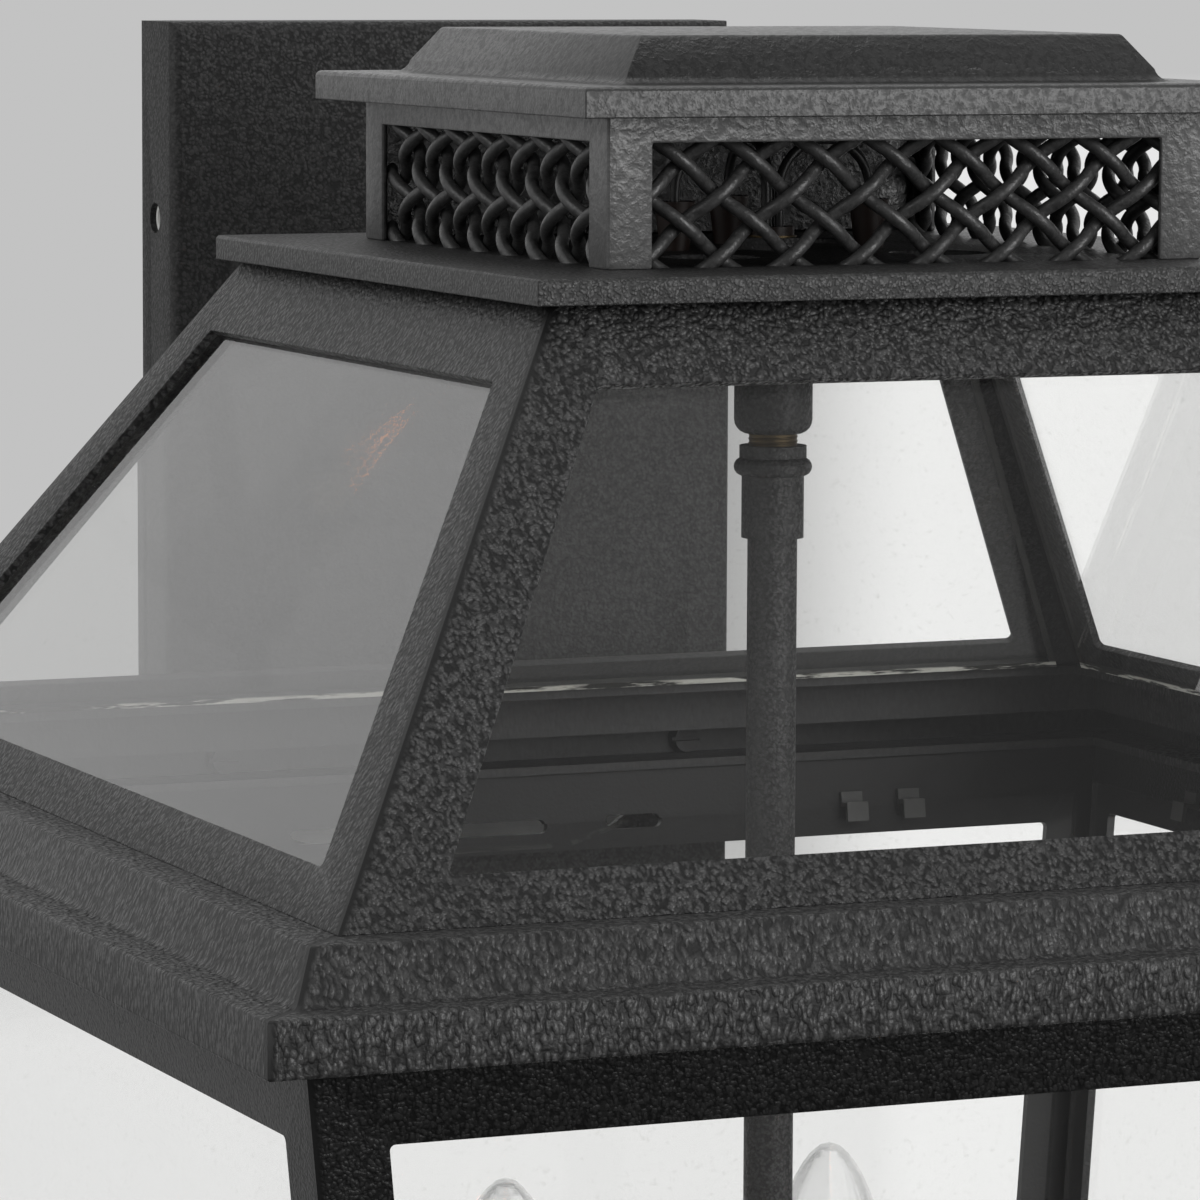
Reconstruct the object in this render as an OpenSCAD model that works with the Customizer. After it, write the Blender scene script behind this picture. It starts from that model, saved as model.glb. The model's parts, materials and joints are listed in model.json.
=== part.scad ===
// Four-light wall lantern: vented cap, glazed roof, moulded crown, tapered glazed body.
// The wall is the plane y = 0, the lantern hangs in front of it along -y, and +z is up.
// The origin is the middle of the outlet box screws on the wall.

/* [Cap] */
// How far the raised part leans in over its height
cap_lean = 4.5; // [0:0.1:12]
// Step from the slab's edge in to the raised part
cap_step = 15.5; // [11:0.1:24]
// Height of the raised part above the slab
cap_rise = 9.4; // [7:0.1:18]
// Overhang of the slab beyond the cage
slab_reach = 8.2; // [5:0.1:16]
// Thickness of the slab
slab_t = 6; // [4:0.1:10]
// Wall of the cap casting
cap_wall = 2; // [1.5:0.1:3]

/* [Vent cage] */
// Width of the cage over its posts
cage_w = 129.6; // [110:0.2:133]
// Clear height between the collar plate and the slab
cage_h = 29.3; // [22:0.1:40]
// Width of each corner post
post_w = 9.5; // [6:0.1:14]
// Depth of the rail along the top of each window
cage_rail = 5; // [3:0.1:8]
// Sheet thickness of the cage
cage_sheet = 1.5; // [1:0.1:2.5]

/* [Woven mesh] */
// Diameter of the mesh wire
wire_d = 2.7; // [1.6:0.1:3]
// Distance between crossings along a row
mesh_pitch_x = 15.4; // [12:0.1:20]
// Distance between every second row of crossings
mesh_pitch_z = 12; // [10:0.1:18]
// Height of the lowest full row of crossings above the collar plate, at the front
mesh_first_row = 8.2; // [4:0.1:12]
// Height of that row in the two side panels
side_first_row = 13.4; // [4:0.1:16]
// Shift of the front panel's weave from the middle of its opening
mesh_shift = -1.1; // [-8:0.1:8]
// Shift of the side panels' weave towards the front
side_shift = 5.8; // [-8:0.1:8]
// Gap between two wires where they cross
mesh_gap = 0.1; // [0.05:0.01:0.3]

/* [Collar plate] */
// Ledge of the collar plate around the cage
collar_ledge = 24.7; // [16:0.1:34]
// Depth of its folded lip
collar_lip = 5.1; // [3:0.1:9]
// Sheet thickness of the collar plate
collar_sheet = 1.5; // [1:0.1:2.5]
// Diameter of each warm air hole
air_hole_d = 20; // [10:1:26]
// Distance of the warm air holes from the axis
air_hole_r = 36; // [28:1:44]

/* [Roof] */
// Overhang of the collar plate beyond the roof's top edge
collar_reach = 7; // [5:0.1:12]
// Height of the roof
roof_h = 108.8; // [80:0.2:140]
// Sheet thickness of the roof and body frames
frame_sheet = 2; // [1.5:0.1:3]
// Rail above each roof window, along the slope
roof_top_rail = 21.7; // [16:0.1:30]
// Rail below each roof window, along the slope
roof_bottom_rail = 10.4; // [9:0.1:16]
// Leg beside each roof window at the top
roof_leg_top = 15.2; // [11:0.1:20]
// Leg beside each roof window at the bottom
roof_leg_bottom = 17.4; // [13:0.1:24]
// Corner radius of the windows
window_r = 1; // [0.5:0.1:4]

/* [Glass] */
// Thickness of the glass panes
glass_t = 3; // [2:0.1:4]
// How far the glass laps behind the rails, and behind the legs of the body
glass_lap = 6.5; // [4:0.1:7]
// Distance of a roof pane's edge from the hip at the top
pane_hip_top = 7.8; // [7:0.1:10]
// Distance of a roof pane's edge from the hip at the bottom
pane_hip_bottom = 10; // [7:0.1:12]
// Width of the sealant bead around a roof pane
bead_w = 1.5; // [0.8:0.1:2]
// Gap between the roof glazing and the crown below it
glazing_clear = 0.4; // [0.2:0.1:1]

/* [Crown] */
// Width of the lower band
crown_w = 349; // [320:1:380]
// Width of the ledge from the lower band in to the foot of the upper band
crown_ledge = 9; // [6:0.1:14]
// How far the upper band leans in over its height
crown_rake = 3.2; // [0:0.1:6]
// Rim of the upper band around the foot of the roof
crown_rim = 8.3; // [4:0.1:14]
// Height of the upper band down to the ledge
crown_upper_h = 10.2; // [7:0.1:16]
// Height of the lower band
crown_lower_h = 10.8; // [8:0.1:18]
// Wall of the crown moulding
crown_wall = 2; // [1.5:0.1:3]
// Cove radius between the upper band and the ledge
cove_r = 2; // [1:0.1:3]
// How far the crown reaches inside the sheet that stands on it or hangs under it
seat_lip = 1.2; // [0.6:0.1:3]

/* [Body] */
// How far the body stands back under the crown
body_inset = 11.1; // [8:0.1:16]
// Width of the body at its bottom edge
body_bottom_w = 208.8; // [180:0.2:260]
// Height of the body
body_h = 409.7; // [330:0.1:460]
// Rail above each body window
body_top_rail = 15.4; // [12:0.1:24]
// Rail above the rear window, which carries the wiring slots
body_rear_rail = 18.4; // [16:0.1:26]
// Rail below each body window
body_bottom_rail = 15; // [12:0.1:24]
// Leg beside each body window
body_leg = 14.2; // [12.5:0.1:20]
// Height of the band around the bottom
base_h = 9; // [6:0.1:16]
// How far the bottom band stands proud of the body
base_proud = 5; // [3:0.1:9]

/* [Wiring slots] */
// Length of the middle slot in the rear rail of the body
wire_slot_len = 32.4; // [20:0.1:50]
// Height of the slots
wire_slot_h = 3.2; // [2:0.1:5]
// Height of the slots' middle above the rear window
wire_slot_rise = 6; // [4:0.1:8]
// Distance from the middle to the start of each side slot
side_slot_x = 31.3; // [28:0.1:36]
// Length of each side slot
side_slot_len = 14; // [8:0.1:20]

/* [Glass clips] */
// Width of each clip
clip_w = 5.5; // [4:0.1:8]
// Sheet thickness of the clips
clip_t = 1; // [0.6:0.1:1.4]
// Reach of a clip's foot and of its finger
clip_reach = 3.5; // [2.5:0.1:5]
// Distance of the first upper clips from the middle of a side
top_clip_x = 95; // [60:0.5:110]
// Distance between the two clips of an upper pair
clip_pair = 15; // [10:0.5:22]
// Distance of the lower clips from the middle of a side
bottom_clip_x = 50; // [30:0.5:65]

/* [Wall plate] */
// Width of the wall plate
plate_w = 139; // [130:1:160]
// Height of the wall plate
plate_h = 240; // [220:1:280]
// Depth of the wall plate's folded sides
plate_depth = 21.5; // [19:0.1:30]
// Sheet thickness of the wall plate
plate_sheet = 1.5; // [1:0.1:2.5]
// Outer radius of the wall plate's folds
plate_fold_r = 3; // [2.6:0.1:5]
// Diameter of the holes in its side walls
side_hole_d = 7; // [5:0.1:8]
// Height of the side holes above and below the middle
side_hole_z = 75; // [66:1:90]
// Distance of the side holes from the wall
side_hole_y = 9; // [8.5:0.1:11]
// Distance of the wiring window from the plate's sides
wiring_edge = 19.5; // [17:0.1:30]
// Height of the wiring window
wiring_h = 37.5; // [30:0.5:44]
// Corner radius of the wiring window
wiring_r = 18; // [4:0.5:18.5]
// Height of the wiring window's middle above the crown's underside
wiring_rise = 2.5; // [0:0.5:6]
// Height of the collar plate's top above the middle of the wall plate
collar_rise = 76; // [72:1:82]

/* [Mounting bracket] */
// Sheet thickness of the bracket
bracket_t = 2; // [1.5:0.1:3]
// Width of the bracket's upright strap
strap_w = 40; // [30:1:50]
// Height of each cross arm
arm_h = 18; // [14:1:24]
// How far each ear stands out from the wall
ear_depth = 15; // [13.5:0.1:16]
// Thread bore in each ear
ear_bore_d = 5; // [4:0.1:6]
// Distance between the outlet box screws
box_screw_pitch = 88.9; // [80:0.1:96]
// Width of the slots for the outlet box screws
slot_w = 4.8; // [4:0.1:6]
// Length of those slots from end to end
slot_len = 14; // [10:0.1:16]
// Hole in the middle of the strap
strap_hole_d = 10.5; // [8:0.1:14]

/* [Crown screws] */
// Distance from the plate's sides to the two screws that hold the lantern to it
crown_screw_edge = 12.5; // [8.5:0.1:14]
// Shank diameter of the crown screws
crown_screw_d = 4; // [3:0.1:5]
// Head diameter of the crown screws
crown_head_d = 8; // [7:0.1:9]
// Head height of the crown screws
crown_head_h = 2.6; // [2:0.1:3.5]
// Width of the screwdriver slot in each head
crown_slot_w = 1; // [0.6:0.1:1.4]
// Depth of the screwdriver slot
crown_slot_depth = 1.2; // [0.6:0.1:1.5]
// Width across flats of the crown nuts
crown_nut_w = 7; // [6:0.1:9]
// Thickness of the crown nuts
crown_nut_t = 3.2; // [2.4:0.1:4]
// Radial clearance of the crown screws in their holes
screw_clear = 0.25; // [0.1:0.05:0.5]

/* [Stem] */
// Outer diameter of the threaded nipple
nipple_d = 9.9; // [9:0.1:11]
// Bore of the nipple and the pipe
wire_way_d = 7; // [5:0.1:8]
// Outer diameter of the upper coupling
upper_coupling_d = 16.2; // [14:0.1:20]
// Length of the upper coupling
upper_coupling_h = 37.3; // [30:0.1:45]
// Rounding round the foot of the upper coupling
upper_coupling_round = 3; // [0.5:0.1:3]
// Bare nipple showing between the couplings
neck_h = 2.4; // [1:0.1:5]
// Diameter of the lower coupling's top ring
ring_d = 13.9; // [13:0.1:16]
// Height of the top ring
ring_h = 2.5; // [1.5:0.1:4]
// Diameter of the lower coupling's bead
bead_d = 16.2; // [14.5:0.1:20]
// Height of the bead
bead_h = 3.8; // [2.5:0.1:6]
// Diameter of the lower coupling's sleeve
sleeve_d = 12.9; // [12.4:0.1:15]
// Height of the sleeve
sleeve_h = 12.8; // [8:0.1:18]
// Outer diameter of the stem pipe
pipe_d = 10.3; // [9.5:0.1:11.5]
// Length of the stem pipe
pipe_len = 335; // [300:1:350]
// Width across flats of the stem's lock nut
stem_nut_w = 15; // [13:0.1:18]
// Thickness of the lock nut
stem_nut_t = 2.4; // [2:0.1:6]
// How far the nipple stands out of the lock nut
nipple_stand = 0.4; // [0:0.1:4]
// Diameter of the bushing on the end of the nipple
bushing_d = 9; // [8:0.1:10]
// Thickness of the bushing's flange
bushing_t = 1.8; // [1:0.1:3]

/* [Candle cluster] */
// Distance of the candles from the axis
candle_r = 57; // [50:0.5:62]
// Turn of the cluster on the stem from the square position
cluster_turn = 6.6; // [-10:0.1:10]
// Diameter of the cluster's hub
hub_d = 34; // [28:0.5:40]
// Height of the hub
hub_h = 26; // [22:0.5:34]
// Wall of the hub, which the arms enter
hub_wall = 4; // [3:0.1:6]
// Thickness of the hub's top and bottom
hub_lid = 5; // [4:0.1:7]
// Outer diameter of the arms
arm_d = 8; // [7:0.1:10]
// Bend radius of the arms
arm_bend = 22; // [16:0.5:26]
// Diameter of the drip cups
cup_d = 38; // [30:0.5:44]
// Height of the drip cups
cup_h = 8; // [6:0.1:12]
// Wall of the drip cups
cup_wall = 1.2; // [0.8:0.1:2]
// Gap between a candle sleeve and the cup's flared side
cup_clear = 0.8; // [0.4:0.1:2]
// Outer diameter of the candle sleeves
candle_d = 23; // [22:0.1:26]
// Wall of the candle sleeves
candle_wall = 1; // [0.8:0.1:1.5]
// Length of the candle sleeves
candle_h = 90; // [75:1:105]
// Height of the lamp sockets
socket_h = 32; // [26:1:38]

/* [Lamps] */
// Largest diameter of the lamp glass
lamp_d = 33; // [28:0.5:36]
// Length of the lamp glass above the screw cap
lamp_glass_h = 84; // [70:1:92]
// Wall of the lamp glass
lamp_wall = 0.8; // [0.6:0.05:1.2]
// Diameter of the screw cap
lamp_cap_d = 12; // [11:0.1:13]
// Length of the screw cap
lamp_cap_h = 17; // [14:0.5:20]

/* [Hidden] */
$fn = 64;
// Overrun that lets a cut pass clean through a face
cut = 1;

// Widths, each stepped from the cage above the roof and from the crown below it
slab_w = cage_w + 2 * slab_reach;
cap_base_w = slab_w - 2 * cap_step;
cap_top_w = cap_base_w - 2 * cap_lean;
collar_w = cage_w + 2 * collar_ledge;
roof_top_w = collar_w - 2 * collar_reach;
crown_foot_w = crown_w - 2 * crown_ledge;
crown_top_w = crown_foot_w - 2 * crown_rake;
roof_bottom_w = crown_top_w - 2 * crown_rim;
body_top_w = crown_w - 2 * body_inset;
wiring_w = plate_w - 2 * wiring_edge;
crown_screw_pitch = plate_w - 2 * crown_screw_edge;

// Heights below are measured from the top face of the collar plate
cage_top = cage_h + slab_t - cap_wall;
slab_top = cage_h + slab_t;
roof_top = -collar_sheet;
roof_bottom = roof_top - roof_h;
crown_h = crown_upper_h + crown_lower_h;
crown_bottom = roof_bottom - crown_h;
body_bottom = crown_bottom - body_h;
// The crown's rear face bears on the wall plate
axis_reach = plate_depth + crown_w / 2;
crown_screw_z = crown_bottom + crown_lower_h / 2;

// Slope of the roof and of the body from the vertical, outward going down is positive
roof_slope = atan((roof_bottom_w - roof_top_w) / 2 / roof_h);
body_slope = atan((body_bottom_w - body_top_w) / 2 / body_h);
roof_side = roof_h / cos(roof_slope);
body_side = body_h / cos(body_slope);

// Mesh wires cross at this spacing along their own length
crossing = norm([mesh_pitch_x, mesh_pitch_z]) / 2;
wire_angle = atan(mesh_pitch_z / mesh_pitch_x);
crimp = (wire_d + mesh_gap) / 2;
crimp_r = (pow(crossing / 2, 2) + crimp * crimp) / (2 * crimp);
crimp_half = asin(crossing / 2 / crimp_r);
mesh_depth = 2 * crimp + wire_d;
mesh_side_clear = 0.3;

// Stem heights
upper_coupling_bottom = -collar_sheet - upper_coupling_h;
lower_coupling_top = upper_coupling_bottom - neck_h;
ring_bottom = lower_coupling_top - ring_h;
bead_bottom = ring_bottom - bead_h;
sleeve_bottom = bead_bottom - sleeve_h;
nipple_bottom = bead_bottom;
nipple_top = stem_nut_t + nipple_stand;
pipe_bottom = nipple_bottom - pipe_len;
hub_top = pipe_bottom + hub_lid;
hub_bottom = hub_top - hub_h;
arm_z = hub_top - hub_h / 2;
arm_bore = 0.75 * arm_d;
cup_bottom = arm_z + arm_bend;
cup_edge_r = 1.1;
candle_bottom = cup_bottom + cup_wall;
candle_top = candle_bottom + candle_h;
socket_d = candle_d - 2 * candle_wall - 1;
socket_post_d = 12;
lamp_seat = candle_top - 4;
lamp_cap_bottom = lamp_seat - lamp_cap_h;

// Points of an arc about a centre, from one angle to the other
function arc(c, r, a0, a1, n = 5) =
    [for (i = [0:n]) let (a = a0 + (a1 - a0) * i / n) c + r * [cos(a), sin(a)]];
// A half outline and its mirror image as one closed outline
function both_sides(p) = concat(p, [for (i = [len(p) - 1:-1:0]) [-p[i][0], p[i][1]]]);
// Closed outline with each corner rounded to radius r
function unit(v) = v / norm(v);
function rounded(p, r, n = 4) = [
    for (i = [0:len(p) - 1])
        let (
            a = unit(p[(i + len(p) - 1) % len(p)] - p[i]),
            b = unit(p[(i + 1) % len(p)] - p[i]),
            half = acos(a * b) / 2,
            c = p[i] + unit(a + b) * r / sin(half),
            s = p[i] + a * r / tan(half) - c,
            e = p[i] + b * r / tan(half) - c,
            sweep = 180 - 2 * half,
            sign = cross(s, e) > 0 ? 1 : -1
        )
        for (k = [0:n])
            let (t = sign * sweep * k / n)
            c + [s[0] * cos(t) - s[1] * sin(t), s[0] * sin(t) + s[1] * cos(t)]
];

// Everything of the lantern proper is drawn about its own axis
module hung() {
    translate([0, -axis_reach, collar_rise]) children();
}

// A square solid whose half width at each height follows a symmetric outline
module squared(span) {
    intersection() {
        rotate([90, 0, 0]) linear_extrude(span, center = true) children();
        rotate([90, 0, 90]) linear_extrude(span, center = true) children();
    }
}

// Square tapering block between two heights
module taper_block(z0, half0, z1, half1) {
    squared(4 * max(half0, half1))
        polygon([[-half0, z0], [half0, z0], [half1, z1], [-half1, z1]]);
}

// Frame of one sloping side: x across, y up the slope from the top edge, z outward
module on_side(turn, top_z, top_w, slope) {
    rotate([0, 0, turn])
        translate([0, -top_w / 2, top_z])
        rotate([90 - slope, 0, 0])
        children();
}

module on_roof(turn) {
    on_side(turn, roof_top, roof_top_w, roof_slope) children();
}

module on_body(turn) {
    on_side(turn, crown_bottom, body_top_w, body_slope) children();
}

// Outline of a window or pane that is lap larger than the window all round
function roof_half(y) = roof_top_w / 2 + (roof_bottom_w - roof_top_w) / 2 * -y / roof_side;
function trapezoid(y0, x0, y1, x1, side_lap, foot_lap, head_lap) = let (
        lean = (x0 - x1) / (y1 - y0),
        grow = side_lap * sqrt(1 + lean * lean),
        foot = x0 + grow + lean * foot_lap,
        head = x1 + grow - lean * head_lap
    )
    [[-foot, y0 - foot_lap], [foot, y0 - foot_lap], [head, y1 + head_lap], [-head, y1 + head_lap]];
function roof_outline(at_foot, at_head, side_lap, foot_lap, head_lap) = let (
        y1 = -roof_top_rail,
        y0 = -roof_side + roof_bottom_rail
    )
    trapezoid(y0, roof_half(y0) - at_foot, y1, roof_half(y1) - at_head, side_lap, foot_lap, head_lap);
// The pane's inner foot edge clears the crown by the glazing gap
roof_foot = (frame_sheet + glass_t) * tan(roof_slope) + bead_w + glazing_clear;
roof_foot_lap = roof_bottom_rail - roof_foot;
// A roof pane that is grow larger all round
function roof_pane(grow) =
    roof_outline(pane_hip_bottom, pane_hip_top, grow, roof_foot_lap + grow, glass_lap + grow);
function body_half(y) = body_top_w / 2 + (body_bottom_w - body_top_w) / 2 * -y / body_side;
// The rear side of the body has a deeper top rail than the others
function top_rail(turn) = turn == 180 ? body_rear_rail : body_top_rail;
function body_pane(turn, lap) = let (
        y1 = -top_rail(turn),
        y0 = -body_side + body_bottom_rail
    )
    trapezoid(y0, body_half(y0) - body_leg, y1, body_half(y1) - body_leg, lap, lap, lap);

// Hollow square frame between two heights, open at both ends
module taper_shell(z0, w0, z1, w1, sheet) {
    inset = sheet / cos(atan((w1 - w0) / 2 / (z1 - z0)));
    lean = (w1 - w0) / 2 / (z1 - z0);
    difference() {
        taper_block(z0, w0 / 2, z1, w1 / 2);
        taper_block(
            z0 - cut, w0 / 2 - inset - lean * cut,
            z1 + cut, w1 / 2 - inset + lean * cut
        );
    }
}

// Cap: hollow casting with a flared raised top on a square slab
flare_r = 3;
cap_edge_r = 1;
module cap() {
    top_z = slab_top + cap_rise;
    outer = both_sides(concat(
        [[slab_w / 2, cage_h]],
        arc([slab_w / 2 - cap_edge_r, slab_top - cap_edge_r], cap_edge_r, 0, 90, 3),
        arc([cap_base_w / 2 + flare_r, slab_top + flare_r], flare_r, 270, 190, 6),
        arc([cap_top_w / 2 - cap_edge_r, top_z - cap_edge_r], cap_edge_r, 30, 90, 3)
    ));
    color("dimgray") hung() difference() {
        squared(2 * slab_w) polygon(outer);
        taper_block(cage_h - cut, slab_w / 2 - cap_wall, cage_top, slab_w / 2 - cap_wall);
        taper_block(
            cage_top - cut, cap_base_w / 2 - cap_wall,
            top_z - cap_wall, cap_top_w / 2 - cap_wall
        );
    }
}

// Cage: folded square tube, closed towards the wall, with an opening in each other side
// that runs down to the collar plate
module cage_frame() {
    window_w = cage_w - 2 * post_w;
    inside = cage_w / 2 - cage_sheet;
    color("dimgray") hung() difference() {
        taper_block(0, cage_w / 2, cage_top, cage_w / 2);
        taper_block(-cut, inside, cage_top + cut, inside);
        for (turn = [0, 90, 270])
            rotate([0, 0, turn])
            translate([-window_w / 2, -cage_w, -cut])
            cube([window_w, cage_w, cage_h - cage_rail + cut]);
    }
}

// One crimp of a mesh wire: an arc that passes over (or under) the wire it crosses,
// with a short flank where it runs into the next arc
flank_len = 0.8;
flank_grow = 0.04;
module crimp_arc(over) {
    mirror([0, 0, over ? 0 : 1])
        translate([0, 0, crimp - crimp_r])
        rotate([90, 0, 0])
        rotate([0, 0, 90 - crimp_half]) {
            rotate_extrude(angle = 2 * crimp_half)
                translate([crimp_r, 0])
                circle(d = wire_d, $fn = 24);
            translate([crimp_r, 0, 0])
                rotate([90, 0, 0])
                cylinder(d = wire_d + flank_grow, h = flank_len, center = true, $fn = 24);
        }
}

// One crimped wire, rising to the right (or to the left), cut to the panel
module mesh_wire(index, rising, half_w, first_row, shift) {
    side = rising ? 1 : -1;
    reach = half_w + mesh_pitch_x / 4 + wire_d / 2;
    rows = [
        for (row = [-ceil(2 * first_row / mesh_pitch_z + 0.5):ceil(2 * (cage_top - first_row) / mesh_pitch_z)])
            if (abs(shift + side * (row / 2 - index) * mesh_pitch_x) < reach) row
    ];
    intersection() {
        translate([-half_w, -first_row, -mesh_depth])
            cube([2 * half_w, cage_top, 2 * mesh_depth]);
        union() for (row = rows)
            translate([shift + side * (row / 2 - index) * mesh_pitch_x, row * mesh_pitch_z / 2, 0])
            rotate([0, 0, side * wire_angle])
            crimp_arc((row % 2 == 0) != rising);
    }
}

// Woven panel behind one opening of the cage, drawn in its own plane
module mesh_panel(turn, half_w, first_row, shift) {
    color("gray") hung()
        rotate([0, 0, turn])
        translate([0, mesh_depth / 2 + cage_sheet - cage_w / 2, first_row])
        rotate([90, 0, 0])
        for (rising = [false, true]) {
            offset = (rising ? shift : -shift) / mesh_pitch_x;
            spread = half_w / mesh_pitch_x;
            first = ceil(-first_row / mesh_pitch_z - spread + offset);
            last = floor((cage_top - first_row) / mesh_pitch_z + spread + offset);
            for (index = [first:last])
                mesh_wire(index, rising, half_w, first_row, shift);
        }
}

mesh_long = cage_w / 2 - cage_sheet - mesh_side_clear;
mesh_short = mesh_long - mesh_depth - mesh_side_clear;
module mesh_front() { mesh_panel(0, mesh_long, mesh_first_row, mesh_shift); }
module mesh_right() { mesh_panel(90, mesh_short, side_first_row, -side_shift); }
module mesh_left() { mesh_panel(270, mesh_short, side_first_row, side_shift); }

// Collar plate: shallow folded pan, pierced for the stem and for warm air
collar_edge_r = 0.8;
module collar_plate() {
    outer = both_sides(concat(
        [[collar_w / 2, -collar_lip]],
        arc([collar_w / 2 - collar_edge_r, -collar_edge_r], collar_edge_r, 0, 90, 3)
    ));
    inside = collar_w / 2 - collar_sheet;
    color("dimgray") hung() difference() {
        squared(2 * collar_w) polygon(outer);
        taper_block(-collar_lip - cut, inside, -collar_sheet, inside);
        translate([0, 0, -collar_sheet - cut])
            cylinder(d = nipple_d + 2 * screw_clear, h = collar_sheet + 2 * cut);
        for (turn = [45:90:315])
            rotate([0, 0, turn])
            translate([air_hole_r, 0, -collar_sheet - cut])
            cylinder(d = air_hole_d, h = collar_sheet + 2 * cut);
    }
}

// Roof frame: four sheet sides joined at the hips, with a window in each
module roof_frame() {
    color("dimgray") hung() difference() {
        taper_shell(roof_bottom, roof_bottom_w, roof_top, roof_top_w, frame_sheet);
        for (turn = [0:90:270])
            on_roof(turn)
            translate([0, 0, -frame_sheet - cut])
            linear_extrude(frame_sheet + 2 * cut)
            polygon(rounded(roof_outline(roof_leg_bottom, roof_leg_top, 0, 0, 0), window_r));
    }
}

module roof_glass(turn) {
    color("lightblue", 0.4) hung() on_roof(turn)
        translate([0, 0, -frame_sheet - glass_t])
        linear_extrude(glass_t)
        polygon(roof_pane(0));
}
module roof_glass_front() { roof_glass(0); }
module roof_glass_right() { roof_glass(90); }
module roof_glass_rear() { roof_glass(180); }
module roof_glass_left() { roof_glass(270); }

// Sealant run along the edge of each roof pane, on the inside of the frame
module roof_glazing_beads() {
    color("whitesmoke") hung()
        for (turn = [0:90:270])
            on_roof(turn)
            translate([0, 0, -frame_sheet - glass_t])
            linear_extrude(glass_t)
            difference() {
                polygon(roof_pane(bead_w));
                polygon(roof_pane(0));
            }
}

// Crown: hollow moulding with a raked upper band, a cove, a ledge and a lower band
crown_edge_r = 0.8;
module crown() {
    upper_lean = atan((crown_foot_w - crown_top_w) / 2 / (crown_upper_h - cove_r));
    ledge_z = roof_bottom - crown_upper_h;
    e = crown_edge_r;
    outer = both_sides(concat(
        arc([crown_top_w / 2 - e, roof_bottom - e], e, 90, upper_lean, 3),
        arc([crown_foot_w / 2 + cove_r, ledge_z + cove_r], cove_r, 180 + upper_lean, 270, 4),
        arc([crown_w / 2 - e, ledge_z - e], e, 90, 0, 3),
        arc([crown_w / 2 - e, crown_bottom + e], e, 0, -90, 3)
    ));
    upper_in = crown_top_w / 2 - crown_wall;
    lower_in = crown_w / 2 - crown_wall;
    mouth = roof_bottom_w / 2 - frame_sheet / cos(roof_slope) - seat_lip;
    flange_in = body_top_w / 2 - frame_sheet / cos(body_slope) - seat_lip;
    color("dimgray") hung() difference() {
        squared(2 * crown_w) polygon(outer);
        taper_block(roof_bottom - crown_wall, mouth, roof_bottom + cut, mouth);
        taper_block(ledge_z - crown_wall - cut, upper_in, roof_bottom - crown_wall, upper_in);
        taper_block(crown_bottom + crown_wall, lower_in, ledge_z - crown_wall, lower_in);
        taper_block(crown_bottom - cut, flange_in, crown_bottom + crown_wall + cut, flange_in);
        for (side = [-1, 1])
            translate([side * crown_screw_pitch / 2, lower_in - cut, crown_screw_z])
            rotate([-90, 0, 0])
            cylinder(d = crown_screw_d + 2 * screw_clear, h = crown_wall + 2 * cut);
    }
}

// Body frame: four sheet sides that taper downwards, with a window in each
module body_frame() {
    color("dimgray") hung() difference() {
        taper_shell(body_bottom, body_bottom_w, crown_bottom, body_top_w, frame_sheet);
        for (turn = [0:90:270])
            on_body(turn)
            translate([0, 0, -frame_sheet - cut])
            linear_extrude(frame_sheet + 2 * cut)
            polygon(rounded(body_pane(turn, 0), window_r));
        // Wiring slots in the rear top rail
        on_body(180)
            translate([0, -body_rear_rail + wire_slot_rise, -frame_sheet - cut])
            linear_extrude(frame_sheet + 2 * cut) {
                round_slot(0, wire_slot_len);
                for (side = [-1, 1])
                    round_slot(side * (side_slot_x + side_slot_len / 2), side_slot_len);
            }
    }
}
module round_slot(x, len) {
    r = wire_slot_h / 2;
    translate([x, 0]) {
        square([len - wire_slot_h, wire_slot_h], center = true);
        for (end = [-1, 1])
            translate([end * (len / 2 - r), 0]) circle(r);
    }
}

module body_glass(turn) {
    color("lightblue", 0.4) hung() on_body(turn)
        translate([0, 0, -frame_sheet - glass_t])
        linear_extrude(glass_t)
        polygon(body_pane(turn, glass_lap));
}
module body_glass_front() { body_glass(0); }
module body_glass_right() { body_glass(90); }
module body_glass_rear() { body_glass(180); }
module body_glass_left() { body_glass(270); }

// Folded clip that holds a body pane: foot on the sheet, riser, finger over the glass
module glass_clip() {
    rotate([0, 90, 0]) rotate([0, 0, -90])
        linear_extrude(clip_w, center = true)
        polygon([
            [-clip_reach, 0], [-clip_reach, clip_t], [-clip_t, clip_t], [-clip_t, glass_t + clip_t],
            [clip_reach, glass_t + clip_t], [clip_reach, glass_t], [0, glass_t], [0, 0]
        ]);
}
module body_glass_clips() {
    bottom_y = -body_side + body_bottom_rail - glass_lap;
    color("silver") hung()
        for (turn = [0:90:270])
            on_body(turn)
            translate([0, 0, -frame_sheet])
            for (side = [-1, 1]) {
                for (x = [top_clip_x, top_clip_x + clip_pair])
                    translate([side * x, -top_rail(turn) + glass_lap, 0])
                    glass_clip();
                translate([side * bottom_clip_x, bottom_y, 0])
                    mirror([0, 1, 0])
                    glass_clip();
            }
}

// Band folded round the bottom of the body, open in the middle for changing the lamps
module base_band() {
    outside = body_bottom_w / 2 + base_proud;
    inside = outside - frame_sheet;
    mouth = body_bottom_w / 2 - frame_sheet / cos(body_slope) - seat_lip;
    e = crown_edge_r;
    outer = both_sides(concat(
        arc([outside - e, body_bottom - base_h + e], e, -90, 0, 3),
        arc([outside - e, body_bottom - e], e, 0, 90, 3)
    ));
    color("dimgray") hung() difference() {
        squared(4 * outside) polygon(outer);
        taper_block(body_bottom - base_h - cut, inside, body_bottom - frame_sheet, inside);
        taper_block(body_bottom - base_h, mouth, body_bottom + cut, mouth);
    }
}

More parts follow.
